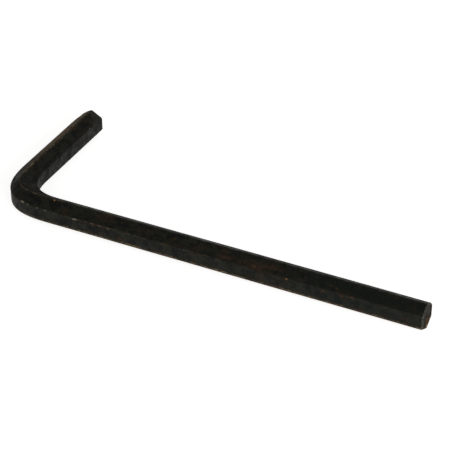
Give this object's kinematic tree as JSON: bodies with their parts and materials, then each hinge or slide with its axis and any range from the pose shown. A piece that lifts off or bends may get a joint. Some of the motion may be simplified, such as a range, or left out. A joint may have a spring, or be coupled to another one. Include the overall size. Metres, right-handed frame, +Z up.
{
  "type": "hex key",
  "caption": "L-shaped hexagonal steel key, a long and a short arm joined by a rounded right-angle bend; black-oxide finish, worn and lightly rusted.",
  "frame": {"origin": "centre of the key's box, on the surface that the key lies on", "axes": "+X along the long arm to its tip, +Y along the short arm to its tip, +Z up from the surface; the bend is at -X, -Y"},
  "size_m": [0.074, 0.029, 0.0045],
  "materials": {
    "black_oxide_steel": "satin black oxide, worn to brown and bare metal along the edges, with spots of light rust"
  },
  "bodies": {
    "root": {"hex_key": "black_oxide_steel"}
  },
  "joints": []
}
